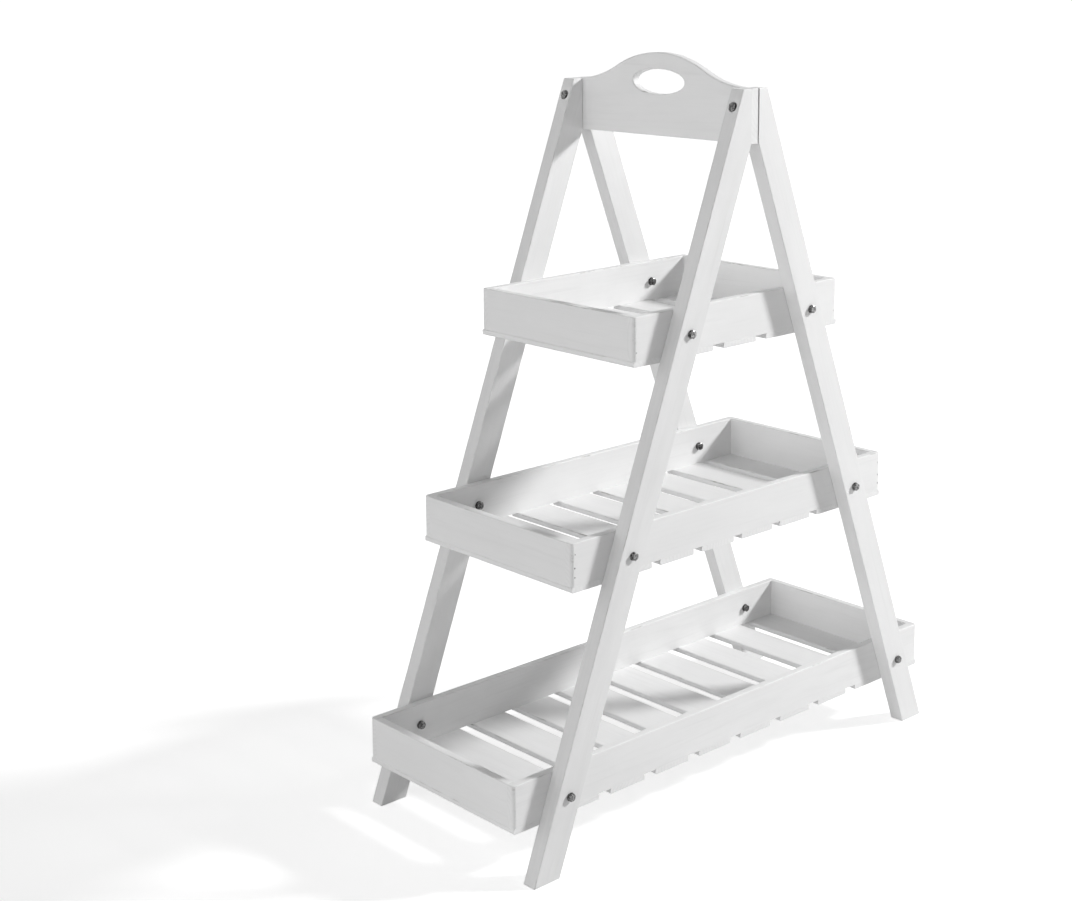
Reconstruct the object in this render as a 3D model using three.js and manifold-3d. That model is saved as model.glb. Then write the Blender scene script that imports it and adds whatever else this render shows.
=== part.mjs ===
// Three-tier plant ladder stand in white painted wood, millimetres, +Z up.
//
// Two A-frames of sloping legs stand front and back. A carrying board with a hand hole is bolted between
// the tops of the legs, and three slatted trays, each longer than the one above it, are bolted between
// the two frames. X runs along the trays, Y is the depth with the front at -Y, and the origin is on the
// floor under the middle of the stand.

import * as THREE from "three";
import { ConvexGeometry } from "three/addons/geometries/ConvexGeometry.js";
import { mergeVertices } from "three/addons/utils/BufferGeometryUtils.js";
import Module from "manifold-3d";

const wasm = await Module();
wasm.setup();

// ---- Driving dimensions ----

const FRAME_HEIGHT = 1000; // floor to the level sawn tops of the legs
const FOOT_OUTER_X = 407; // outer edge of a leg at the floor, from the middle of the stand
const TOP_OUTER_X = 24; // outer edge of a leg at its top
const LEG_STOCK_WIDTH = 42; // leg section across its broad face
const LEG_THICKNESS = 22.5; // leg section along the depth

const TRAY_DEPTH = 302; // over the two long boards, and so between the A-frames
const BOARD_THICKNESS = 12; // long boards and end boards of the trays
const BOARD_HEIGHT = 59;
const SLAT_WIDTH = 65;
const SLAT_THICKNESS = 8;
const TRAYS = [
  { name: "bottom", length: 842, top: 140, slats: 10 },
  { name: "middle", length: 632, top: 440, slats: 8 },
  { name: "top", length: 408, top: 719, slats: 5 },
];

const HANDLE_THICKNESS = 14; // carrying board, along X
const HANDLE_SETBACK = 1; // its ends stand this far inside the outer faces of the legs
const ARCH_RISE = 41.5; // top of the arch over the leg tops
const ARCH_RUN = 168; // from the middle of the arch to where it runs out level
const HAND_HOLE_LENGTH = 98;
const HAND_HOLE_HEIGHT = 34;
const HAND_HOLE_Z = 1001.5; // height of the middle of the hand hole

const TRAY_BOLT_DROP = 31; // tray bolts below the upper edge of the tray boards
const HANDLE_BOLT_DROP = 22.5; // carrying-board bolts below the leg tops
const BOLT_RADIUS = 3; // M6
const BOLT_HOLE_RADIUS = 3.4;
const HEX_ACROSS_FLATS = 10;
const HEAD_HEIGHT = 4;
const NUT_HEIGHT = 5;
const HEX_CHAMFER = 0.7;
const WASHER_RADIUS = 6;
const WASHER_THICKNESS = 1.2;
const THREAD_END = 2; // thread standing out of the nut
const NUT_THREAD_GAP = 0.3; // radial room between a loose nut and the bolt in it
const SPOT_FACE_RADIUS = 7; // level seat bored in the sloping leg edge

const EASE = 1.2; // rounding of every sawn edge, taken as one flat
const SLAT_EASE = 2; // the slats are rounded more
const GRIP_EASE = 2; // the carrying board is rounded more, in two flats

const ROUND_SIDES = 12;
const WASHER_SIDES = 16;
const ARCH_STEPS = 8;
const OVERCUT = 1; // how far a cutter runs past the faces that it opens

// ---- Sizes worked out from them ----

const SPLAY = (FOOT_OUTER_X - TOP_OUTER_X) / FRAME_HEIGHT; // run of a leg for each millimetre of height
const LEG_WIDTH_X = LEG_STOCK_WIDTH * Math.hypot(1, SPLAY); // level width of the sloping leg
const CROTCH_Z = (FOOT_OUTER_X - LEG_WIDTH_X - HANDLE_THICKNESS / 2) / SPLAY; // legs meet the board here
const FRAME_INNER_Y = TRAY_DEPTH / 2;
const FRAME_OUTER_Y = FRAME_INNER_Y + LEG_THICKNESS;
const HANDLE_END_Y = FRAME_OUTER_Y - HANDLE_SETBACK;
const HANDLE_BOLT_Y = (FRAME_INNER_Y + FRAME_OUTER_Y) / 2;
const HANDLE_BOLT_Z = FRAME_HEIGHT - HANDLE_BOLT_DROP;
const SPOT_FACE_X = legOuterX(HANDLE_BOLT_Z + SPOT_FACE_RADIUS);

const SIDES = [
  { name: "left", x: -1 },
  { name: "right", x: 1 },
];
const FACES = [
  { name: "front", y: -1 },
  { name: "back", y: 1 },
];

function legOuterX(z) {
  return FOOT_OUTER_X - SPLAY * z;
}

function legCentreX(z) {
  return legOuterX(z) - LEG_WIDTH_X / 2;
}

// ---- Materials ----

const paintedWood = new THREE.MeshStandardMaterial({ color: 0xefeeeb, roughness: 0.62, metalness: 0 });
const zincSteel = new THREE.MeshStandardMaterial({ color: 0x8d8f92, roughness: 0.34, metalness: 1 });

// ---- Solids ----

// A closed three.js geometry as a solid: shared corners merged, faces without area dropped, faces outward.
function solid(geometry) {
  const bare = geometry.index ? geometry.toNonIndexed() : geometry.clone();
  bare.deleteAttribute("normal");
  bare.deleteAttribute("uv");
  const merged = mergeVertices(bare, 1e-5);
  const corners = merged.index.array;
  const kept = [];
  for (let i = 0; i < corners.length; i += 3) {
    const [a, b, c] = corners.slice(i, i + 3);
    if (a !== b && b !== c && c !== a) kept.push(a, b, c);
  }
  const points = Float32Array.from(merged.attributes.position.array);
  const triVerts = Uint32Array.from(signedVolume(points, kept) < 0 ? kept.reverse() : kept);
  return new wasm.Manifold(new wasm.Mesh({ numProp: 3, vertProperties: points, triVerts }));
}

function signedVolume(points, corners) {
  const corner = (i) => new THREE.Vector3().fromArray(points, 3 * corners[i]);
  let volume = 0;
  for (let i = 0; i < corners.length; i += 3) {
    volume += corner(i).dot(corner(i + 1).cross(corner(i + 2))) / 6;
  }
  return volume;
}

function geometryOf(body) {
  const mesh = body.getMesh();
  const geometry = new THREE.BufferGeometry();
  geometry.setAttribute("position", new THREE.BufferAttribute(Float32Array.from(mesh.vertProperties), 3));
  geometry.setIndex(new THREE.BufferAttribute(Uint32Array.from(mesh.triVerts), 1));
  geometry.computeVertexNormals();
  return geometry;
}

// A sawn board of the given size about the origin, with all twelve edges eased.
function easedBoard(lengthX, lengthY, lengthZ, ease = EASE) {
  const half = [lengthX / 2, lengthY / 2, lengthZ / 2];
  const points = [];
  for (let flat = 0; flat < 3; flat += 1) {
    const reach = half.map((size, axis) => (axis === flat ? size : size - ease));
    for (const x of [-1, 1]) {
      for (const y of [-1, 1]) {
        for (const z of [-1, 1]) points.push(new THREE.Vector3(x * reach[0], y * reach[1], z * reach[2]));
      }
    }
  }
  return solid(new ConvexGeometry(points));
}

// A turned body about the Y axis, from radius and height pairs that start and end on the axis.
function turned(pairs, sides) {
  return solid(new THREE.LatheGeometry(pairs.map(([radius, y]) => new THREE.Vector2(radius, y)), sides));
}

function rod(radius, from, to, sides = ROUND_SIDES) {
  return turned([[0, from], [radius, from], [radius, to], [0, to]], sides);
}

// A hexagon from one height to another, with the corners of the far end chamfered.
function hexagon(from, to) {
  const corner = HEX_ACROSS_FLATS / Math.sqrt(3);
  const shoulder = to - Math.sign(to - from) * HEX_CHAMFER;
  const pairs = [[0, from], [corner, from], [corner, shoulder], [corner - HEX_CHAMFER, to], [0, to]];
  return turned(pairs, 6);
}

// The same rod laid along X, for the carrying board's bolts and their holes.
function alongX(body) {
  return body.rotate([0, 0, -90]);
}

// ---- Legs ----

// Sloping side piece of an A-frame: foot and top sawn level, inner face of the top sawn upright to lie
// flat on the carrying board.
function leg(side) {
  const corners = [
    [FOOT_OUTER_X, 0],
    [TOP_OUTER_X, FRAME_HEIGHT],
    [HANDLE_THICKNESS / 2, FRAME_HEIGHT],
    [HANDLE_THICKNESS / 2, CROTCH_Z],
    [FOOT_OUTER_X - LEG_WIDTH_X, 0],
  ];
  const outline = new THREE.Shape(corners.map(([x, z]) => new THREE.Vector2(side.x * x, z)));
  const blank = new THREE.ExtrudeGeometry(outline, {
    depth: LEG_THICKNESS - 2 * EASE,
    bevelSize: EASE,
    bevelThickness: EASE,
    bevelOffset: -EASE,
    bevelSegments: 1,
  });
  blank.translate(0, 0, EASE - LEG_THICKNESS / 2);
  blank.rotateX(Math.PI / 2);
  let body = solid(blank);

  const reach = LEG_THICKNESS / 2 + OVERCUT;
  for (const tray of TRAYS) {
    const z = tray.top - TRAY_BOLT_DROP;
    body = body.subtract(rod(BOLT_HOLE_RADIUS, -reach, reach).translate([side.x * legCentreX(z), 0, z]));
  }
  const hole = rod(BOLT_HOLE_RADIUS, 0, FOOT_OUTER_X);
  const spotFace = rod(SPOT_FACE_RADIUS, SPOT_FACE_X, FOOT_OUTER_X, WASHER_SIDES);
  const bore = alongX(hole.add(spotFace)).rotate([0, 0, side.x > 0 ? 0 : 180]);
  return geometryOf(body.subtract(bore.translate([0, 0, HANDLE_BOLT_Z])));
}

// ---- Carrying board ----

// Board on edge between the leg tops: level foot edge, arched top of three arcs and an oval hand hole.
function handleBoard() {
  const halfRun = ARCH_RUN / 2;
  const halfRise = ARCH_RISE / 2;
  const radius = (halfRun ** 2 + halfRise ** 2) / (2 * halfRise);
  const turn = Math.asin(halfRun / radius);
  const down = -Math.PI / 2;
  const up = Math.PI / 2;

  const outline = new THREE.Shape();
  outline.moveTo(-HANDLE_END_Y, CROTCH_Z);
  outline.lineTo(HANDLE_END_Y, CROTCH_Z);
  outline.lineTo(HANDLE_END_Y, FRAME_HEIGHT);
  outline.absarc(ARCH_RUN, FRAME_HEIGHT + radius, radius, down, down - turn, true);
  outline.absarc(0, FRAME_HEIGHT + ARCH_RISE - radius, radius, up - turn, up + turn, false);
  outline.absarc(-ARCH_RUN, FRAME_HEIGHT + radius, radius, down + turn, down, true);
  outline.lineTo(-HANDLE_END_Y, FRAME_HEIGHT);
  outline.closePath();

  const handHole = new THREE.Path();
  const reach = [HAND_HOLE_LENGTH / 2, HAND_HOLE_HEIGHT / 2];
  handHole.absellipse(0, HAND_HOLE_Z, ...reach, 0, Math.PI, false);
  handHole.absellipse(0, HAND_HOLE_Z, ...reach, Math.PI, 2 * Math.PI, false);
  outline.holes.push(handHole);

  const blank = new THREE.ExtrudeGeometry(outline, {
    depth: HANDLE_THICKNESS - 2 * GRIP_EASE,
    bevelSize: GRIP_EASE,
    bevelThickness: GRIP_EASE,
    bevelOffset: -GRIP_EASE,
    bevelSegments: 2,
    curveSegments: ARCH_STEPS,
  });
  blank.translate(0, 0, GRIP_EASE - HANDLE_THICKNESS / 2);
  blank.applyMatrix4(new THREE.Matrix4().set(0, 0, 1, 0, 1, 0, 0, 0, 0, 1, 0, 0, 0, 0, 0, 1));
  let body = solid(blank);
  for (const face of FACES) {
    const hole = alongX(rod(BOLT_HOLE_RADIUS, -HANDLE_THICKNESS, HANDLE_THICKNESS));
    body = body.subtract(hole.translate([0, face.y * HANDLE_BOLT_Y, HANDLE_BOLT_Z]));
  }
  return geometryOf(body);
}

// ---- Tray boards and slats ----

// Long board of a tray, on edge, bored for the two bolts that hold it to its A-frame.
function longBoard(tray) {
  let body = easedBoard(tray.length, BOARD_THICKNESS, BOARD_HEIGHT);
  const boltZ = tray.top - TRAY_BOLT_DROP;
  const reach = BOARD_THICKNESS / 2 + OVERCUT;
  for (const side of SIDES) {
    const place = [side.x * legCentreX(boltZ), 0, BOARD_HEIGHT / 2 - TRAY_BOLT_DROP];
    body = body.subtract(rod(BOLT_HOLE_RADIUS, -reach, reach).translate(place));
  }
  return geometryOf(body);
}

function endBoard() {
  return geometryOf(easedBoard(BOARD_THICKNESS, TRAY_DEPTH - 2 * BOARD_THICKNESS, BOARD_HEIGHT));
}

function slat() {
  return geometryOf(easedBoard(SLAT_WIDTH, TRAY_DEPTH, SLAT_THICKNESS, SLAT_EASE));
}

// ---- Bolts ----

// Hexagon bolt with its washers and tightened nut. It lies along Y, with the clamped wood from 0 to grip.
function boltSet(grip) {
  const nutSeat = grip + WASHER_THICKNESS;
  const nutTop = nutSeat + NUT_HEIGHT;
  return rod(BOLT_RADIUS, -WASHER_THICKNESS, nutTop + THREAD_END)
    .add(rod(WASHER_RADIUS, -WASHER_THICKNESS, 0, WASHER_SIDES))
    .add(hexagon(-WASHER_THICKNESS, -WASHER_THICKNESS - HEAD_HEIGHT))
    .add(rod(WASHER_RADIUS, grip, nutSeat, WASHER_SIDES))
    .add(hexagon(nutSeat, nutTop));
}

// Hexagon bolt and head washer alone, for a nut of its own. It lies along Y like the bolt set.
function looseBolt(grip) {
  const threadEnd = grip + NUT_HEIGHT + THREAD_END;
  return rod(BOLT_RADIUS, -WASHER_THICKNESS, threadEnd)
    .add(rod(WASHER_RADIUS, -WASHER_THICKNESS, 0, WASHER_SIDES))
    .add(hexagon(-WASHER_THICKNESS, -WASHER_THICKNESS - HEAD_HEIGHT));
}

function looseNut() {
  const bore = rod(BOLT_RADIUS + NUT_THREAD_GAP, -OVERCUT, NUT_HEIGHT + OVERCUT);
  return hexagon(0, NUT_HEIGHT).subtract(bore);
}

// ---- Assembly ----

const stand = new THREE.Group();

function place(parent, name, geometry, material, x, y, z) {
  const piece = new THREE.Mesh(geometry, material);
  piece.name = name;
  piece.position.set(x, y, z);
  parent.add(piece);
  return piece;
}

for (const face of FACES) {
  const aFrame = new THREE.Group();
  aFrame.position.y = face.y * HANDLE_BOLT_Y;
  for (const side of SIDES) {
    place(aFrame, `leg_${face.name}_${side.name}`, leg(side), paintedWood, 0, 0, 0);
  }
  stand.add(aFrame);
}

for (const tray of TRAYS) {
  const group = new THREE.Group();
  group.position.z = tray.top;
  const boardZ = -BOARD_HEIGHT / 2;

  for (const face of FACES) {
    const y = face.y * (TRAY_DEPTH - BOARD_THICKNESS) / 2;
    place(group, `${tray.name}_tray_${face.name}_board`, longBoard(tray), paintedWood, 0, y, boardZ);
  }
  for (const side of SIDES) {
    const x = side.x * (tray.length - BOARD_THICKNESS) / 2;
    place(group, `${tray.name}_tray_${side.name}_end`, endBoard(), paintedWood, x, 0, boardZ);
  }
  const pitch = (tray.length - SLAT_WIDTH) / (tray.slats - 1);
  for (let i = 0; i < tray.slats; i += 1) {
    const x = (SLAT_WIDTH - tray.length) / 2 + i * pitch;
    const z = -BOARD_HEIGHT - SLAT_THICKNESS / 2;
    place(group, `${tray.name}_tray_slat_${i + 1}`, slat(), paintedWood, x, 0, z);
  }
  for (const face of FACES) {
    for (const side of SIDES) {
      const x = side.x * legCentreX(tray.top - TRAY_BOLT_DROP);
      const geometry = geometryOf(boltSet(LEG_THICKNESS + BOARD_THICKNESS));
      const name = `${tray.name}_tray_bolt_${face.name}_${side.name}`;
      const bolt = place(group, name, geometry, zincSteel, x, face.y * FRAME_OUTER_Y, -TRAY_BOLT_DROP);
      if (face.y > 0) bolt.rotation.z = Math.PI;
    }
  }
  stand.add(group);
}

const crown = new THREE.Group();
place(crown, "handle_board", handleBoard(), paintedWood, 0, 0, 0);
for (const face of FACES) {
  const y = face.y * HANDLE_BOLT_Y;
  const bolt = geometryOf(alongX(looseBolt(2 * SPOT_FACE_X)));
  place(crown, `handle_bolt_${face.name}`, bolt, zincSteel, -SPOT_FACE_X, y, HANDLE_BOLT_Z);
  const nut = geometryOf(alongX(looseNut()));
  place(crown, `handle_nut_${face.name}`, nut, zincSteel, SPOT_FACE_X, y, HANDLE_BOLT_Z);
}
stand.add(crown);

export default stand;
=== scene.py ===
"""A white-painted ladder stand for plants.

Two A-frames of sloping legs carry three slatted trays, below an arched board with a hand hole.
"""

import math
import random

import bmesh
import bpy
from mathutils import Matrix, Vector

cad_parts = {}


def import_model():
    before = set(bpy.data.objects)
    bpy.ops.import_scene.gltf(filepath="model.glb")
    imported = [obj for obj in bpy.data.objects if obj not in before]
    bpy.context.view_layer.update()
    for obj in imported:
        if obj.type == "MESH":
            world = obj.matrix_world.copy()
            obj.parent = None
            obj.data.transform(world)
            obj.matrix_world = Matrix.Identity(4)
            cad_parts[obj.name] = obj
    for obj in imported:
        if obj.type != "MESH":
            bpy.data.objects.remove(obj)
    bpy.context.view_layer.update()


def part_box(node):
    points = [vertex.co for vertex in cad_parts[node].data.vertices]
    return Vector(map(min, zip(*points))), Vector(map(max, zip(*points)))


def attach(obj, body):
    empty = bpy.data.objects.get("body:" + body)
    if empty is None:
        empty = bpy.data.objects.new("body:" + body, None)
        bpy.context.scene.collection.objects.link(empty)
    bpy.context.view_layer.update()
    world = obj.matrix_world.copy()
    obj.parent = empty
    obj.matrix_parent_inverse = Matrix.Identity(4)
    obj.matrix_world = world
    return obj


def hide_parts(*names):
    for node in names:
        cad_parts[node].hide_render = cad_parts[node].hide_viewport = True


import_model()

MM = 0.001
AXES = (Vector((1, 0, 0)), Vector((0, 1, 0)), Vector((0, 0, 1)))
UP = AXES[2]

# Legs
SPLAY = 0.383  # how far a leg's edge comes in for each metre of height
FOOT_OUTER_X = 407 * MM
LEG_WIDTH = 42 * MM
LEG_THICKNESS = 22.5 * MM
LEG_TOP_Z = 1.0
LEG_STICK_LENGTH = 1.2  # before both ends are sawn level
SPLAY_ANGLE = math.atan(SPLAY)
OPEN_JOINT_LEG = "leg_front_right"  # its joint with the carrying board stands open at the top
OPEN_JOINT_DEPTH = 42 * MM
OPEN_JOINT_GAP = 0.9 * MM

# Trays
TRAYS = ("bottom", "middle", "top")
ENDS = ("left", "right")
FACES = ("front", "back")
SLATS = {"bottom": 10, "middle": 8, "top": 5}

# Carrying board
ARCH_RISE = 41.5 * MM
ARCH_RUN = 168 * MM  # from the middle to where the arch runs out level
HAND_HOLE_LENGTH = 98 * MM
HAND_HOLE_HEIGHT = 34 * MM
HAND_HOLE_Z = 1001.5 * MM
HANDLE_BOLT_Z = 977.5 * MM

# Bolts
BOLT_RADIUS = 3 * MM
HEX_CORNER_RADIUS = 5 * MM / math.cos(math.radians(30))
HEX_CHAMFER = 0.7 * MM  # how far down the corners are turned off
HEX_CHAMFER_SLOPE = math.radians(30)
HEAD_HEIGHT = 4 * MM
NUT_HEIGHT = 5 * MM
WASHER_RADIUS = 6 * MM
WASHER_THICKNESS = 1.2 * MM
WASHER_ROUNDING = 0.25 * MM
THREAD_END = 2 * MM  # beyond the nut
THREAD_LENGTH = 8 * MM
THREAD_PITCH = 1 * MM
THREAD_DEPTH = 0.45 * MM
SPOT_FACE_RADIUS = 7 * MM
SPOT_FACE_BORE = 20 * MM  # length of the cutter, which reaches out of the wood

# Brads
BRAD_RADIUS = 1.3 * MM
BRAD_LENGTH = 1.2 * MM  # only the head and a stub are modelled
BRAD_DOME = 0.5 * MM
BRAD_STAND = 0.15 * MM  # above the wood
BRAD_WANDER = 0.8 * MM
BRAD_FROM_END = 5.5 * MM
BRAD_DROPS = (16 * MM, 34 * MM, 47 * MM)  # below the upper edge of the board
BARE_BRADS = {"bottom": (), "middle": BRAD_DROPS, "top": BRAD_DROPS[-1:]}  # the paint hides the others

# Wood
EDGE_ROUNDING = 1.2 * MM  # along the grain
JOINT_ROUNDING = 0.15 * MM  # where two boards lie against each other
CORNER_ROUNDING = 4.5 * MM  # the upright outer corners of a tray
SLAT_ROUNDING = 2 * MM
GRIP_ROUNDING = 2.2 * MM
CUT_SPACING = 8 * MM  # between the cuts across a board that let its edges wander
EDGE_WEAR = 0.5 * MM
CORNER_WEAR = 1.6 * MM
CORNER_REACH = 14 * MM  # how far from a board's end its edges are worn like a corner
SIDEWAYS_RUBBED = 0.35  # how far the paint is off a rounding that looks sideways; more if it looks up
THINLY_PAINTED = {  # from 0 for a full coat to 1
    "leg_front_left": 0.45,
    "leg_back_right": 0.25,
    "leg_front_right": 0.0,
    "handle_board": 0.0,
}
USUAL_THINNESS = 0.2  # the most that any other board has
# how much darker the outward sloping edge of each leg is drawn
DARKER_LEG_EDGE = 0.9

# How squarely a face has to look in a direction to be picked: the cosine of the angle between them
FLAT = 0.998  # a board's own face, and no part of a rounding
TURNED_END = 0.9
SAWN_END = 0.85
OUTER_EDGE = 0.8  # the outer edge of a leg, with the beginning of its roundings

SHARP = math.radians(40)  # between the faces at an edge that isn't rounded yet
SAME_HEIGHT = 0.001 * MM

# Camera and light
PHOTO_WIDTH = 1072  # pixels
SHIFT_DOWN = 100  # pixels: the photograph is cropped a little below its optical middle
CAMERA_PLACE = (-1.83435, -1.79215, 1.18248)
CAMERA_AZIMUTH, CAMERA_ELEVATION, CAMERA_ROLL = -0.72767, 0.21528, -0.01238
CAMERA_LENS = 61.69  # on a sensor 36 wide
KEY_AZIMUTH, KEY_ELEVATION = math.radians(57), math.radians(29)
KEY_DISTANCE = 7
KEY_SIZE = 0.95
KEY_POWER = 490
FILL_LIGHTS = (  # axis and side that it comes from, strength, and how narrow it is
    ("X", -1, 2.1, 5),
    ("X", -1, 0.36, 1),
    ("Y", 1, 0.42, 1),
    ("Y", -1, 0.05, 1),
    ("Z", 1, 0.08, 1),
)


# ---------------------------------------------------------------- bench tools

def clear_selection():
    """Nothing selected and nothing being edited."""
    if bpy.context.object and bpy.context.object.mode != "OBJECT":
        bpy.ops.object.mode_set(mode="OBJECT")
    bpy.ops.object.select_all(action="DESELECT")


def take(piece):
    """Makes one piece the only one that the next operators act on."""
    clear_selection()
    piece.select_set(True)
    bpy.context.view_layer.objects.active = piece


def edit_with(piece, element, chosen):
    """Opens a piece for editing with only the edges or faces selected that the test picks."""
    take(piece)
    bpy.ops.object.mode_set(mode="EDIT")
    bpy.ops.mesh.select_mode(type=element)
    bpy.ops.mesh.select_all(action="DESELECT")
    mesh = bmesh.from_edit_mesh(piece.data)
    for part in {"EDGE": mesh.edges, "FACE": mesh.faces}[element]:
        if chosen(part):
            part.select_set(True)
    mesh.select_flush_mode()
    bmesh.update_edit_mesh(piece.data)


def done_editing():
    """Closes the piece that edit_with opened."""
    bpy.ops.object.mode_set(mode="OBJECT")


def edge_run(edge, direction):
    """How far an edge runs in a direction."""
    first, last = (vert.co for vert in edge.verts)
    return abs((first - last).dot(direction))


def round_edges(piece, chosen, rounding, segments):
    """Rounds the edges that the test picks."""
    edit_with(piece, "EDGE", chosen)
    bpy.ops.mesh.bevel(offset=rounding, segments=segments, affect="EDGES")
    done_editing()


def cut_across(piece, chosen, cuts):
    """Divides the edges that the test picks, and the faces between them, by that many even cuts."""
    edit_with(piece, "EDGE", chosen)
    bpy.ops.mesh.subdivide(number_cuts=cuts)
    done_editing()


def name_piece(piece, name):
    """Names a piece and its mesh alike."""
    piece.name = name
    piece.data.name = name
    return piece


def apply_place(piece):
    """Puts the piece's place, turn and size into its mesh."""
    take(piece)
    bpy.ops.object.transform_apply(location=True, rotation=True, scale=True)
    return piece


def finish_with(piece, kind, **settings):
    """Adds a modifier to a piece and applies it."""
    take(piece)
    modifier = piece.modifiers.new(kind.lower(), kind)
    for setting, value in settings.items():
        setattr(modifier, setting, value)
    bpy.ops.object.modifier_apply(modifier=modifier.name)


def cut_away(piece, cutter):
    """Takes the cutter's space out of the piece and throws the cutter away."""
    finish_with(piece, "BOOLEAN", operation="DIFFERENCE", object=cutter, solver="EXACT")
    bpy.data.objects.remove(cutter)


def keep_common(piece, cutter):
    """Leaves of the piece only what lies inside the cutter."""
    finish_with(piece, "BOOLEAN", operation="INTERSECT", object=cutter, solver="EXACT")
    bpy.data.objects.remove(cutter)


def join(pieces, name):
    """Makes one piece of several."""
    clear_selection()
    for piece in pieces:
        piece.select_set(True)
    bpy.context.view_layer.objects.active = pieces[0]
    bpy.ops.object.join()
    return name_piece(bpy.context.object, name)


def copy_to(pattern, name, placement):
    """A copy of a finished piece with its own mesh, laid where the placement says."""
    piece = pattern.copy()
    piece.data = pattern.data.copy()
    bpy.context.scene.collection.objects.link(piece)
    piece.data.transform(placement)
    return name_piece(piece, name)


# ---------------------------------------------------------------- materials

def add_node(tree, kind, inputs=None, **settings):
    """Adds a shader node, sets it up, and links or fills its inputs."""
    shader_node = tree.nodes.new(kind)
    for setting, value in settings.items():
        setattr(shader_node, setting, value)
    for socket, value in (inputs or {}).items():
        if isinstance(value, bpy.types.NodeSocket):
            tree.links.new(value, shader_node.inputs[socket])
        else:
            shader_node.inputs[socket].default_value = value
    return shader_node


def grey(level):
    """A colour without a hue, from 0 for black to 1 for white."""
    return (level, level, level, 1)


PAINT = grey(0.86)
THIN_PAINT = grey(0.76)  # over late wood, in streaks and on raised fibres
SINGLE_COAT = grey(0.8)  # in patches
GREYER_STICK = grey(0.79)  # the shade that the darkest boards lean to
DULLED_PAINT = grey(0.6)  # what a thin coat leans to
PAINTED_END_GRAIN = grey(0.84)
BARED_WOOD = (0.3, 0.29, 0.27, 1)
# painted reflection: the zinc is coloured this dark for the dark surroundings it would mirror
ZINC_DARK_REFLECTION = grey(0.06)
# pale mottle of the plating, partly a painted glint
PALE_ZINC_AND_GLINT = grey(0.32)
AGED_BRAD = grey(0.16)
SPECKED_BRAD = grey(0.6)
PAINTED_BRAD = grey(0.8)


def new_material(name):
    """An empty material and its node tree."""
    material = bpy.data.materials.new(name)
    material.use_nodes = True
    material.node_tree.nodes.clear()
    return material, material.node_tree


def attribute(tree, name, output="Fac"):
    """What a mesh records at each point under a name."""
    return add_node(tree, "ShaderNodeAttribute", attribute_name=name).outputs[output]


def stretched(tree, source, scale):
    """A place multiplied by a scale of its own along each axis."""
    return add_node(tree, "ShaderNodeMapping", {"Vector": source, "Scale": scale}).outputs["Vector"]


def noise(tree, vector, scale, detail, roughness=0.55):
    """Smooth noise about 0.5 that changes about as often in a metre as the scale says."""
    inputs = {"Vector": vector, "Scale": scale, "Detail": detail, "Roughness": roughness}
    return add_node(tree, "ShaderNodeTexNoise", inputs).outputs["Fac"]


def remap(tree, value, low, high, to_low=0.0, to_high=1.0):
    """Turns the range from low to high into that from to_low to to_high, and goes no further."""
    inputs = {"Value": value, "From Min": low, "From Max": high, "To Min": to_low, "To Max": to_high}
    return add_node(tree, "ShaderNodeMapRange", inputs, clamp=True).outputs["Result"]


def combine(tree, operation, first, second):
    """One sum, product or other operation on two values."""
    return add_node(tree, "ShaderNodeMath", {0: first, 1: second}, operation=operation).outputs[0]


def tinted(tree, factor, first, second):
    """The first colour, leaning to the second by the factor."""
    return add_node(tree, "ShaderNodeMix", {0: factor, 6: first, 7: second}, data_type="RGBA").outputs[2]


def bumped(tree, height, strength, distance):
    """The surface's direction with small bumps of that height on it."""
    inputs = {"Height": height, "Strength": strength, "Distance": distance}
    return add_node(tree, "ShaderNodeBump", inputs).outputs["Normal"]


def finish_material(tree, inputs):
    """Ends a material in one principled shader."""
    shader = add_node(tree, "ShaderNodeBsdfPrincipled", inputs)
    add_node(tree, "ShaderNodeOutputMaterial", {"Surface": shader.outputs["BSDF"]})


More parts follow.
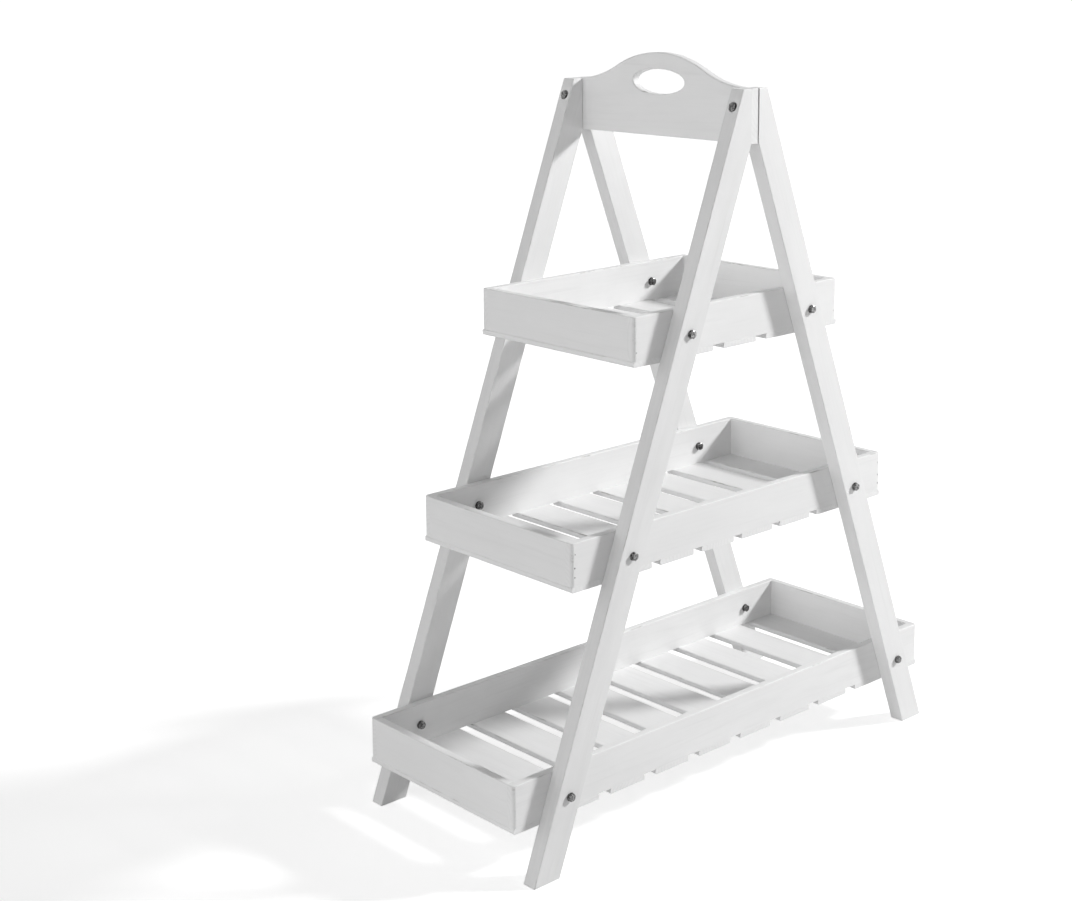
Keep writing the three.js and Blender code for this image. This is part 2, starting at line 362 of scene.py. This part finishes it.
def make_painted_wood():
    """White paint brushed thinly over softwood: the grain shows faintly and the edges are rubbed."""
    material, tree = new_material("white painted softwood")
    grain = attribute(tree, "grain", "Vector")
    rubbed = attribute(tree, "rubbed")
    sawn = attribute(tree, "sawn")
    thin_coat = attribute(tree, "thin_coat")

    def drawn_out(lengthwise, crosswise, detail, roughness=0.55):
        """Noise drawn out along the grain: changes in a metre along it, and across it."""
        place = stretched(tree, grain, (lengthwise, crosswise, crosswise))
        return noise(tree, place, 1, detail, roughness)

    rings = add_node(
        tree,
        "ShaderNodeTexWave",
        {
            "Vector": stretched(tree, grain, (0.05, 1, 1)),
            "Scale": 52,
            "Distortion": 5.5,
            "Detail": 3,
            "Detail Scale": 0.55,
            "Detail Roughness": 0.62,
        },
        wave_type="RINGS",
        rings_direction="X",
        wave_profile="SAW",
    ).outputs["Fac"]
    late_wood = remap(tree, rings, 0.5, 1.0)
    fibres = drawn_out(9, 420, 3)
    brushed = drawn_out(5, 120, 4, 0.6)
    streaks = drawn_out(7, 150, 3, 0.5)
    coats = drawn_out(6, 22, 4, 0.6)
    sticks = drawn_out(0.3, 4, 1)
    chips = drawn_out(40, 240, 4, 0.65)
    bared = drawn_out(14, 30, 2)

    # How thin the paint lies over late wood, in streaks and on fibres
    shows = remap(tree, coats, 0.45, 0.7, 0, 0.45)
    shows = combine(tree, "ADD", shows, combine(tree, "MULTIPLY", thin_coat, 0.25))
    thin = combine(tree, "MULTIPLY", late_wood, shows)
    thin = combine(tree, "ADD", thin, remap(tree, streaks, 0.58, 0.78, 0, 0.6))
    thin = combine(tree, "ADD", thin, remap(tree, fibres, 0.5, 0.85, 0, 0.25))

    # What else changes its colour, from the whole board down to chips in its worn edges
    dulled = combine(tree, "MULTIPLY", thin_coat, remap(tree, coats, 0.3, 0.7, 0.4, 0.6))
    chips = combine(tree, "MULTIPLY", remap(tree, chips, 0.45, 0.6), remap(tree, bared, 0.5, 0.64))
    worn = combine(tree, "MULTIPLY", rubbed, chips)
    end_grain = tinted(tree, late_wood, PAINTED_END_GRAIN, THIN_PAINT)
    colour = tinted(tree, thin, PAINT, THIN_PAINT)
    colour = tinted(tree, remap(tree, coats, 0.35, 0.7, 0, 0.65), colour, SINGLE_COAT)
    colour = tinted(tree, remap(tree, sticks, 0.35, 0.65, 0, 0.4), colour, GREYER_STICK)
    colour = tinted(tree, dulled, colour, DULLED_PAINT)
    colour = tinted(tree, combine(tree, "MULTIPLY", sawn, 0.5), colour, end_grain)
    colour = tinted(tree, combine(tree, "MULTIPLY", worn, 0.8), colour, BARED_WOOD)

    height = combine(tree, "MULTIPLY", late_wood, -0.3)
    for relief, share in ((fibres, 0.4), (brushed, 0.8), (worn, -0.6)):
        height = combine(tree, "ADD", height, combine(tree, "MULTIPLY", relief, share))
    satin = remap(tree, brushed, 0.3, 0.7, 0.46, 0.6)
    finish_material(tree, {
        "Base Color": colour,
        "Roughness": combine(tree, "ADD", satin, combine(tree, "MULTIPLY", sawn, 0.15)),
        "Normal": bumped(tree, height, 0.6, 0.12 * MM),
    })
    return material


def make_zinc_steel():
    """Plated fasteners: the metal is coloured dark as a painted reflection of dark surroundings, with pale
    patches that are partly mottle of the plating and partly painted glints, and fine scratches.
    """
    material, tree = new_material("dull zinc on steel")
    place = add_node(tree, "ShaderNodeTexCoord").outputs["Object"]
    mottle_and_glint = noise(tree, place, 420, 4, 0.6)
    scratches = noise(tree, stretched(tree, place, (300, 2600, 900)), 1, 3)
    finish_material(tree, {
        # dark painted reflection, broken by pale patches that are partly painted glints
        "Base Color": tinted(tree, remap(tree, mottle_and_glint, 0.4, 0.65), ZINC_DARK_REFLECTION, PALE_ZINC_AND_GLINT),
        "Metallic": 1.0,
        "Roughness": remap(tree, mottle_and_glint, 0.3, 0.7, 0.18, 0.32),
        "Normal": bumped(tree, scratches, 0.35, 0.05 * MM),
    })
    return material


def make_brad_steel():
    """Brad heads: some darkened by age with specks of paint on them, the others painted over."""
    material, tree = new_material("dark brad steel")
    place = add_node(tree, "ShaderNodeTexCoord").outputs["Object"]
    specks = noise(tree, place, 190, 4, 0.7)
    bare = attribute(tree, "bare")
    aged = tinted(tree, remap(tree, specks, 0.42, 0.6), AGED_BRAD, SPECKED_BRAD)
    finish_material(tree, {
        "Base Color": tinted(tree, bare, PAINTED_BRAD, aged),
        "Metallic": combine(tree, "MULTIPLY", bare, 0.5),
        "Roughness": remap(tree, specks, 0.3, 0.7, 0.4, 0.65),
    })
    return material


# ---------------------------------------------------------------- studio

def direction_to(azimuth, elevation):
    """Away from the stand, that far round to the right of its front and that far up, in radians."""
    return Vector((
        math.sin(azimuth) * math.cos(elevation),
        -math.cos(azimuth) * math.cos(elevation),
        math.sin(elevation),
    ))


def place_camera():
    """The photograph's viewpoint: from the front left, a little above the stand, looking slightly down."""
    camera = bpy.data.cameras.new("camera")
    camera.sensor_width = 36
    camera.lens = CAMERA_LENS
    camera.shift_y = -SHIFT_DOWN / PHOTO_WIDTH
    viewer = bpy.data.objects.new("camera", camera)
    bpy.context.scene.collection.objects.link(viewer)

    back = direction_to(CAMERA_AZIMUTH, CAMERA_ELEVATION)
    level = Vector((math.cos(CAMERA_AZIMUTH), math.sin(CAMERA_AZIMUTH), 0))
    upright = back.cross(level)
    right = math.cos(CAMERA_ROLL) * level + math.sin(CAMERA_ROLL) * upright
    up = math.cos(CAMERA_ROLL) * upright - math.sin(CAMERA_ROLL) * level
    turn = Matrix((right, up, back)).transposed().to_4x4()
    viewer.matrix_world = Matrix.Translation(CAMERA_PLACE) @ turn
    bpy.context.scene.camera = viewer


def seen_directly(tree):
    """1 for what the camera sees, also in mirrors and through glass, and 0 for the light on things."""
    rays = add_node(tree, "ShaderNodeLightPath").outputs
    either = combine(tree, "MAXIMUM", rays["Is Camera Ray"], rays["Is Glossy Ray"])
    return combine(tree, "MAXIMUM", either, rays["Is Transmission Ray"])


def light_world():
    """A white surround: seen as plain white, while its light on things comes mostly from the left."""
    world = bpy.data.worlds.new("white surround")
    world.use_nodes = True
    bpy.context.scene.world = world
    tree = world.node_tree
    tree.nodes.clear()
    outwards = add_node(tree, "ShaderNodeTexCoord").outputs["Generated"]
    outwards = add_node(tree, "ShaderNodeSeparateXYZ", {"Vector": outwards}).outputs
    soft = 0.0
    for axis, side, strength, narrowness in FILL_LIGHTS:
        nearness = remap(tree, outwards[axis], 0, side)
        light = combine(tree, "MULTIPLY", combine(tree, "POWER", nearness, narrowness), strength)
        soft = combine(tree, "ADD", soft, light)
    shares = {0: seen_directly(tree), 2: soft, 3: 1.0}
    glow = add_node(tree, "ShaderNodeMix", shares, data_type="FLOAT").outputs[0]
    surround = add_node(tree, "ShaderNodeBackground", {"Color": grey(1), "Strength": glow})
    add_node(tree, "ShaderNodeOutputWorld", {"Surface": surround.outputs[0]})


def light_key():
    """One broad lamp from the right, above and a little in front."""
    direction = direction_to(KEY_AZIMUTH, KEY_ELEVATION)
    aim = Vector((0, 0, LEG_TOP_Z / 2))
    lamp = bpy.data.lights.new("key", "AREA")
    lamp.shape = "DISK"
    lamp.size = KEY_SIZE
    lamp.energy = KEY_POWER
    key = bpy.data.objects.new("key", lamp)
    bpy.context.scene.collection.objects.link(key)
    key.location = aim + KEY_DISTANCE * direction
    key.rotation_euler = direction.to_track_quat("Z", "Y").to_euler()
    key.visible_camera = False


def lay_floor():
    """A pale floor that the camera sees as white, with the stand's shadow left on it."""
    side = 180
    near, far = 2.2, 5  # the glow grows between these distances, as the lamp's light thins out
    near_glow, far_glow = 0.62, 0.8
    clear_selection()
    bpy.ops.mesh.primitive_grid_add(x_subdivisions=4, y_subdivisions=4, size=side, location=(0, 0, 0))
    floor = name_piece(bpy.context.object, "floor")
    material, tree = new_material("pale floor")
    matte = add_node(tree, "ShaderNodeBsdfDiffuse", {"Color": grey(0.75)}).outputs[0]
    place = add_node(tree, "ShaderNodeTexCoord").outputs["Object"]
    distance = add_node(tree, "ShaderNodeVectorMath", {0: place}, operation="LENGTH").outputs["Value"]
    glow = remap(tree, distance, near, far, near_glow, far_glow)
    light = add_node(tree, "ShaderNodeEmission", {"Color": grey(1), "Strength": glow}).outputs[0]
    both = add_node(tree, "ShaderNodeAddShader", {0: matte, 1: light}).outputs[0]
    surface = add_node(tree, "ShaderNodeMixShader", {0: seen_directly(tree), 1: matte, 2: both})
    add_node(tree, "ShaderNodeOutputMaterial", {"Surface": surface.outputs[0]})
    floor.data.materials.append(material)


# ---------------------------------------------------------------- wood

def is_square_face(normal):
    """Whether a face is one of a squared board's own, and not part of a rounded edge."""
    return max(abs(part) for part in normal) > FLAT


def record(piece, name, values):
    """Records a number at each point of a piece, for its material to read."""
    piece.data.attributes.new(name, "FLOAT", "POINT").data.foreach_set("value", values)


def mark_wear(board, along, is_own_face):
    """Records where wear takes wood and paint from the rounded edges, and which ends are sawn.

    The board's own faces and the fine edges at its joints aren't worn.
    """
    mesh = bmesh.new()
    mesh.from_mesh(board.data)
    mesh.normal_update()
    reach = [point.co.dot(along) for point in mesh.verts]
    first, last = min(reach), max(reach)
    rubbed, sawn = [], []
    worn = board.vertex_groups.new(name="worn")
    for point in mesh.verts:
        own = [face.normal for face in point.link_faces if is_own_face(face.normal)]
        in_joint = min(edge.calc_length() for edge in point.link_edges) < 2 * JOINT_ROUNDING
        kept = own or in_joint
        rubbed.append(0.0 if kept else min(1.0, max(0.0, SIDEWAYS_RUBBED + point.normal.z)))
        sawn.append(1.0 if any(abs(normal.dot(along)) > SAWN_END for normal in own) else 0.0)
        if not kept:
            from_end = min(reach[point.index] - first, last - reach[point.index])
            nearness = max(0.0, 1 - from_end / CORNER_REACH)
            depth = EDGE_WEAR + (CORNER_WEAR - EDGE_WEAR) * nearness**2
            worn.add([point.index], depth / CORNER_WEAR, "REPLACE")
    mesh.free()
    record(board, "rubbed", rubbed)
    record(board, "sawn", sawn)


def mark_grain(board, along, across):
    """Records where each point lay in the tree: along the grain, and twice across it from the heart."""
    chance = random.Random(board.name)
    through = along.cross(across)
    bearing = chance.uniform(0, 2 * math.pi)
    from_heart = chance.uniform(35, 80) * MM
    start = Vector((chance.uniform(-5, 5), from_heart * math.cos(bearing), from_heart * math.sin(bearing)))
    slope = Vector((0, chance.uniform(-0.02, 0.02), chance.uniform(-0.02, 0.02)))
    middle = sum((Vector(corner) for corner in board.bound_box), Vector()) / 8
    values = []
    for point in board.data.vertices:
        place = point.co - middle
        length = place.dot(along)
        values.extend(start + Vector((length, place.dot(across), place.dot(through))) + length * slope)
    grain = board.data.attributes.new("grain", "FLOAT_VECTOR", "POINT")
    grain.data.foreach_set("vector", values)


def wear_edges(board, along, is_own_face):
    """Wears the rounded edges back unevenly, and makes the broad faces shade flat."""
    mark_wear(board, along, is_own_face)
    finish_with(
        board,
        "DISPLACE",
        texture=edge_wear,
        texture_coords="LOCAL",
        vertex_group="worn",
        mid_level=0.15,
        strength=-CORNER_WEAR,
    )
    board.vertex_groups.clear()
    take(board)
    bpy.ops.object.shade_smooth()
    finish_with(board, "WEIGHTED_NORMAL", mode="FACE_AREA", weight=80, keep_sharp=False)


def mark_thin_coat(board, node, darker_side):
    """Records how thin the paint lies: a little on each board and more on one leg; the outward sloping
    edge of each leg is given a darker tone.
    """
    everywhere = THINLY_PAINTED.get(node, random.Random(node).uniform(0, USUAL_THINNESS))
    values = []
    for point in board.data.vertices:
        # the outward sloping edge of a leg gets a darker tone
        on_side = darker_side is not None and point.normal.dot(darker_side) > OUTER_EDGE
        values.append(DARKER_LEG_EDGE if on_side else everywhere)
    record(board, "thin_coat", values)


def dress_wood(board, node, along, across, darker_side=None):
    """Gives a finished board its grain and paint, and lets it stand for its CAD solid."""
    mark_grain(board, along, across)
    mark_thin_coat(board, node, darker_side)
    board.data.materials.append(painted_wood)
    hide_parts(node)
    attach(board, "root")


def squared_board(node, rounding=EDGE_ROUNDING):
    """A planed board or slat: a block with rounded edges, cut across for its edges to wander."""
    low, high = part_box(node)
    size = high - low
    clear_selection()
    bpy.ops.mesh.primitive_cube_add(size=1, location=(low + high) / 2, scale=size)
    board = apply_place(name_piece(bpy.context.object, node + "_wood"))
    across_axis, long_axis = sorted(range(3), key=lambda axis: size[axis])[1:]
    along, across = AXES[long_axis], AXES[across_axis]
    is_slat = across_axis == 0
    is_long_board = long_axis == 0

    def runs_lengthwise(edge):
        return edge_run(edge, along) > size[long_axis] / 2

    def is_outer_corner(edge):
        on_outside = abs(edge.verts[0].co.y) > abs(low.y + high.y) / 2
        return on_outside and edge_run(edge, UP) > size.z / 2

    def is_upper(edge):
        on_top = all(vert.co.z > high.z - JOINT_ROUNDING for vert in edge.verts)
        return on_top and (is_long_board or runs_lengthwise(edge))

    if is_long_board:
        round_edges(board, is_outer_corner, CORNER_ROUNDING, 5)
    round_edges(board, runs_lengthwise if is_slat else is_upper, rounding, 4)
    round_edges(board, lambda edge: edge.calc_face_angle(0) > SHARP, JOINT_ROUNDING, 2)
    cut_across(board, runs_lengthwise, round(size[long_axis] / CUT_SPACING))
    wear_edges(board, along, is_square_face)
    dress_wood(board, node, along, across)


def saw(piece, place, outwards):
    """Saws off everything on the outward side of a plane, and closes the cut."""
    edit_with(piece, "FACE", lambda face: True)
    bpy.ops.mesh.bisect(plane_co=place, plane_no=outwards, use_fill=True, clear_outer=True)
    done_editing()


def sloping_leg(face, end):
    """A leg: a stick turned by the splay, sawn level at both ends and upright at the carrying board."""
    node = f"leg_{face}_{end}"
    low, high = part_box(node)
    side = -1 if end == "left" else 1
    board_low, board_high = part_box("handle_board")
    board_face_x = max(abs(board_low.x), abs(board_high.x))
    middle_z = LEG_TOP_Z / 2
    half_level_width = LEG_WIDTH / math.cos(SPLAY_ANGLE) / 2
    centre = Vector((
        side * (FOOT_OUTER_X - SPLAY * middle_z - half_level_width),
        (low.y + high.y) / 2,
        middle_z,
    ))
    clear_selection()
    bpy.ops.mesh.primitive_cube_add(size=1, scale=(LEG_WIDTH, LEG_THICKNESS, LEG_STICK_LENGTH))
    leg = apply_place(name_piece(bpy.context.object, node + "_wood"))
    cut_across(
        leg,
        lambda edge: edge_run(edge, UP) > LEG_STICK_LENGTH / 2,
        round(LEG_STICK_LENGTH / CUT_SPACING),
    )
    leg.rotation_euler.y = -side * SPLAY_ANGLE
    leg.location = centre
    apply_place(leg)
    saw(leg, (0, 0, low.z), (0, 0, -1))
    saw(leg, (0, 0, high.z), (0, 0, 1))
    saw(leg, (side * board_face_x, 0, 0), (-side, 0, 0))
    if node == OPEN_JOINT_LEG:
        foot_of_gap = (side * board_face_x, 0, LEG_TOP_Z - OPEN_JOINT_DEPTH)
        saw(leg, foot_of_gap, (-side * OPEN_JOINT_DEPTH, 0, OPEN_JOINT_GAP))
    finish_with(
        leg, "BEVEL", width=EDGE_ROUNDING, segments=3, limit_method="ANGLE", angle_limit=math.radians(12)
    )
    slope_out = Vector((side * math.cos(SPLAY_ANGLE), 0, math.sin(SPLAY_ANGLE)))
    along = Vector((-side * math.sin(SPLAY_ANGLE), 0, math.cos(SPLAY_ANGLE)))

    def is_leg_face(normal):
        return is_square_face(normal) or abs(normal.dot(slope_out)) > FLAT

    wear_edges(leg, along, is_leg_face)
    bore_spot_face(leg, side, centre.y)
    dress_wood(leg, node, along, slope_out, darker_side=slope_out)


def bore_spot_face(leg, side, y):
    """The level seat that is bored into the sloping edge for the washer of the carrying board's bolt."""
    seat_x = FOOT_OUTER_X - SPLAY * (HANDLE_BOLT_Z + SPOT_FACE_RADIUS)
    clear_selection()
    bpy.ops.mesh.primitive_cylinder_add(
        vertices=48,
        radius=SPOT_FACE_RADIUS,
        depth=SPOT_FACE_BORE,
        location=(side * (seat_x + SPOT_FACE_BORE / 2), y, HANDLE_BOLT_Z),
        rotation=(0, math.radians(90), 0),
    )
    cut_away(leg, apply_place(bpy.context.object))


def arch_height(y, level):
    """Height of the carrying board's upper edge: a crown arc that two hollow arcs bring down level."""
    half_run = ARCH_RUN / 2
    half_rise = ARCH_RISE / 2
    radius = (half_run**2 + half_rise**2) / (2 * half_rise)
    y = abs(y)
    if y <= half_run:
        return level + ARCH_RISE - radius + math.sqrt(radius**2 - y**2)
    if y < ARCH_RUN:
        return level + radius - math.sqrt(radius**2 - (ARCH_RUN - y) ** 2)
    return level


def carrying_board():
    """The arched board between the leg tops, with its oval hand hole and well rounded grip."""
    arch_cuts = 61
    small_bend = math.radians(0.2)  # cuts that bend the upper edge by less aren't needed
    seen_edge_on = 0.05  # the greatest part of its normal that a face across the board has along X
    along = Vector((0, 1, 0))
    node = "handle_board"
    low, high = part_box(node)
    level = high.z - ARCH_RISE
    size = Vector((high.x - low.x, high.y - low.y, level - low.z))
    middle = Vector(((low.x + high.x) / 2, (low.y + high.y) / 2, (level + low.z) / 2))
    clear_selection()
    bpy.ops.mesh.primitive_cube_add(size=1, location=middle, scale=size)
    board = apply_place(name_piece(bpy.context.object, node + "_wood"))
    cut_across(board, lambda edge: edge_run(edge, along) > size.y / 2, arch_cuts)
    for point in board.data.vertices:
        if point.co.z > level - MM:
            point.co.z = arch_height(point.co.y, level)
    edit_with(board, "FACE", lambda face: True)
    bpy.ops.mesh.dissolve_limited(angle_limit=small_bend)
    done_editing()
    clear_selection()
    bpy.ops.mesh.primitive_cylinder_add(
        vertices=72,
        radius=0.5,
        depth=3 * size.x,
        location=(middle.x, middle.y, HAND_HOLE_Z),
        rotation=(0, math.radians(90), 0),
    )
    cutter = bpy.context.object
    cutter.scale = (HAND_HOLE_HEIGHT, HAND_HOLE_LENGTH, 1)
    cut_away(board, apply_place(cutter))
    end_y = high.y - JOINT_ROUNDING

    def is_at_end(edge):
        return min(abs(vert.co.y) for vert in edge.verts) > end_y

    def is_rim(edge):
        on_side = edge_run(edge, AXES[0]) < JOINT_ROUNDING
        return on_side and edge.calc_face_angle(0) > SHARP and not is_at_end(edge)

    def is_board_face(normal):
        return abs(normal.x) > FLAT or abs(normal.x) < seen_edge_on

    round_edges(board, is_rim, GRIP_ROUNDING, 4)
    round_edges(board, is_at_end, 2 * JOINT_ROUNDING, 2)
    wear_edges(board, along, is_board_face)
    dress_wood(board, node, along, UP)


# ---------------------------------------------------------------- fasteners

def turned_blank(radius, low, high, sides=48):
    """A round blank along Z."""
    clear_selection()
    bpy.ops.mesh.primitive_cylinder_add(
        vertices=sides, radius=radius, depth=high - low, location=(0, 0, (low + high) / 2)
    )
    return apply_place(bpy.context.object)


def turn_off_rim(blank, top, depth, width):
    """Turns the rim of the blank's top or bottom face down to a cone of that depth and width."""
    outwards = 1 if top else -1
    rim_z = (max if top else min)(point.co.z for point in blank.data.vertices)
    edit_with(blank, "FACE", lambda face: face.normal.z * outwards > TURNED_END)
    bpy.ops.mesh.inset(thickness=width)
    bpy.ops.transform.translate(value=(0, 0, outwards * depth))
    done_editing()
    raised_z = rim_z + outwards * depth
    for point in blank.data.vertices:
        if min(abs(point.co.z - rim_z), abs(point.co.z - raised_z)) < SAME_HEIGHT:
            point.co.z -= outwards * depth


def hexagon(low, high, both_ends):
    """A bolt head or nut: a hexagon whose corners are turned off at its low end, or at both ends."""
    blank = turned_blank(HEX_CORNER_RADIUS, low, high)
    width = HEX_CHAMFER / math.tan(HEX_CHAMFER_SLOPE)
    turn_off_rim(blank, False, HEX_CHAMFER, width)
    if both_ends:
        turn_off_rim(blank, True, HEX_CHAMFER, width)
    clear_selection()
    bpy.ops.mesh.primitive_cylinder_add(
        vertices=6, radius=HEX_CORNER_RADIUS, depth=2 * (high - low), location=(0, 0, (low + high) / 2)
    )
    keep_common(blank, apply_place(bpy.context.object))
    return blank


def washer(low):
    """A plain washer with its punched edge turned off on both sides."""
    blank = turned_blank(WASHER_RADIUS, low, low + WASHER_THICKNESS)
    for top in (False, True):
        turn_off_rim(blank, top, WASHER_ROUNDING, WASHER_ROUNDING)
    return blank


def threaded_shank(low, high):
    """The bolt's shank, with thread rolled on its last millimetres.

    The rings of thread are drawn up one by one, root and crest, and the last stays narrow as a chamfer.
    """
    root_radius = BOLT_RADIUS - THREAD_DEPTH
    radii = [root_radius, BOLT_RADIUS] * round(THREAD_LENGTH / THREAD_PITCH)
    radii[-1] = root_radius
    shank = turned_blank(BOLT_RADIUS, low, high - THREAD_LENGTH)
    edit_with(shank, "FACE", lambda face: face.normal.z > TURNED_END)
    for before, radius in zip([BOLT_RADIUS] + radii, radii):
        bpy.ops.mesh.extrude_region_move(TRANSFORM_OT_translate={"value": (0, 0, THREAD_PITCH / 2)})
        bpy.ops.transform.resize(value=(radius / before, radius / before, 1))
    done_editing()
    return shank


def finish_steel(piece):
    """Shades round faces smooth, leaves corners crisp, and plates the piece."""
    take(piece)
    bpy.ops.object.shade_smooth_by_angle(angle=math.radians(28))
    piece.data.materials.append(zinc_steel)


def fit_steel(pattern, node, seat, lay):
    """Lays a copy of a bolt or nut at its seat, turned by chance, to stand for its CAD solid."""
    spin = Matrix.Rotation(random.Random(node).uniform(0, math.pi / 3), 4, "Z")
    piece = copy_to(pattern, node + "_steel", Matrix.Translation(seat) @ lay @ spin)
    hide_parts(node)
    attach(piece, "root")


def tray_bolts():
    """Twelve alike: head and washer outside the leg, washer and nut inside the long board."""
    low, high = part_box("bottom_tray_bolt_front_left")
    length = high.y - low.y
    grip = length - HEAD_HEIGHT - NUT_HEIGHT - THREAD_END - 2 * WASHER_THICKNESS
    nut_low = grip + WASHER_THICKNESS
    pattern = join(
        [
            hexagon(-WASHER_THICKNESS - HEAD_HEIGHT, -WASHER_THICKNESS, both_ends=False),
            washer(-WASHER_THICKNESS),
            threaded_shank(-WASHER_THICKNESS, nut_low + NUT_HEIGHT + THREAD_END),
            washer(grip),
            hexagon(nut_low, nut_low + NUT_HEIGHT, both_ends=True),
        ],
        "tray bolt",
    )
    finish_steel(pattern)
    for tray in TRAYS:
        for face in FACES:
            for end in ENDS:
                node = f"{tray}_tray_bolt_{face}_{end}"
                low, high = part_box(node)
                inwards = 1 if face == "front" else -1
                seat_y = low.y if face == "front" else high.y
                seat_y += inwards * (HEAD_HEIGHT + WASHER_THICKNESS)
                seat = Vector(((low.x + high.x) / 2, seat_y, (low.z + high.z) / 2))
                fit_steel(pattern, node, seat, Matrix.Rotation(-inwards * math.pi / 2, 4, "X"))
    bpy.data.objects.remove(pattern)


def handle_bolts():
    """The two bolts that clamp the carrying board between the leg tops, with their nuts."""
    low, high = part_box("handle_bolt_front")
    nut_low, nut_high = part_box("handle_nut_front")
    nut_height = nut_high.x - nut_low.x
    bolt = join(
        [
            hexagon(0, HEAD_HEIGHT, both_ends=False),
            washer(HEAD_HEIGHT),
            threaded_shank(HEAD_HEIGHT, high.x - low.x),
        ],
        "handle bolt",
    )
    nut = name_piece(hexagon(0, nut_height, both_ends=True), "handle nut")
    cut_away(nut, turned_blank(BOLT_RADIUS, -MM, nut_height + MM))
    for pattern in (bolt, nut):
        finish_steel(pattern)
    for face in FACES:
        for pattern, kind in ((bolt, "bolt"), (nut, "nut")):
            node = f"handle_{kind}_{face}"
            low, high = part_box(node)
            seat = Vector((low.x, (low.y + high.y) / 2, (low.z + high.z) / 2))
            fit_steel(pattern, node, seat, Matrix.Rotation(math.pi / 2, 4, "Y"))
    for pattern in (bolt, nut):
        bpy.data.objects.remove(pattern)


def brad_pattern():
    """A small domed head on a short stub."""
    blank = turned_blank(BRAD_RADIUS, BRAD_STAND - BRAD_LENGTH, BRAD_STAND, sides=16)
    brad = name_piece(blank, "brad")
    edit_with(brad, "FACE", lambda face: face.normal.z > TURNED_END)
    bpy.ops.mesh.bevel(offset=BRAD_DOME, segments=2, affect="EDGES")
    done_editing()
    take(brad)
    bpy.ops.object.shade_smooth_by_angle(angle=math.radians(50))
    brad.data.materials.append(brad_steel)
    return brad


def tray_brads(tray, pattern):
    """Three brads at each corner through the long boards, and two at each end of a slat from below."""
    brads = []
    chance = random.Random(tray)

    def drive(place, outwards, is_bare=False):
        """Drives one brad, a little off its mark along the face that it goes into."""
        sideways, up = (chance.uniform(-BRAD_WANDER, BRAD_WANDER) for _ in range(2))
        shift = Vector((sideways, up, 0)) if outwards.z else Vector((sideways, 0, up))
        turn = outwards.to_track_quat("Z", "Y").to_matrix().to_4x4()
        brad = copy_to(pattern, f"{tray} brad", Matrix.Translation(place + shift) @ turn)
        record(brad, "bare", [float(is_bare)] * len(brad.data.vertices))
        brads.append(brad)

    for face in FACES:
        low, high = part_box(f"{tray}_tray_{face}_board")
        outwards = Vector((0, -1 if face == "front" else 1, 0))
        face_y = low.y if face == "front" else high.y
        for x in (low.x + BRAD_FROM_END, high.x - BRAD_FROM_END):
            for drop in BRAD_DROPS:
                drive(Vector((x, face_y, high.z - drop)), outwards, drop in BARE_BRADS[tray])
        board_middle_y = (low.y + high.y) / 2
        for slat in range(1, SLATS[tray] + 1):
            slat_low, slat_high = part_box(f"{tray}_tray_slat_{slat}")
            quarter = (slat_high.x - slat_low.x) / 4
            for x in (slat_low.x + quarter, slat_high.x - quarter):
                drive(Vector((x, board_middle_y, slat_low.z)), Vector((0, 0, -1)))
    piece = join(brads, f"{tray}_tray_brads")
    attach(piece, "root")


# ---------------------------------------------------------------- the stand

bpy.context.scene.view_settings.view_transform = "Standard"
place_camera()
light_world()
light_key()
lay_floor()

painted_wood = make_painted_wood()
zinc_steel = make_zinc_steel()
brad_steel = make_brad_steel()
edge_wear = bpy.data.textures.new("edge wear", "CLOUDS")
edge_wear.noise_scale = 25 * MM
edge_wear.noise_depth = 2

for face in FACES:
    for end in ENDS:
        sloping_leg(face, end)
carrying_board()
for tray in TRAYS:
    for part in ("front_board", "back_board", "left_end", "right_end"):
        squared_board(f"{tray}_tray_{part}")
    for slat in range(1, SLATS[tray] + 1):
        squared_board(f"{tray}_tray_slat_{slat}", SLAT_ROUNDING)
tray_bolts()
handle_bolts()
brad = brad_pattern()
for tray in TRAYS:
    tray_brads(tray, brad)
bpy.data.objects.remove(brad)
clear_selection()
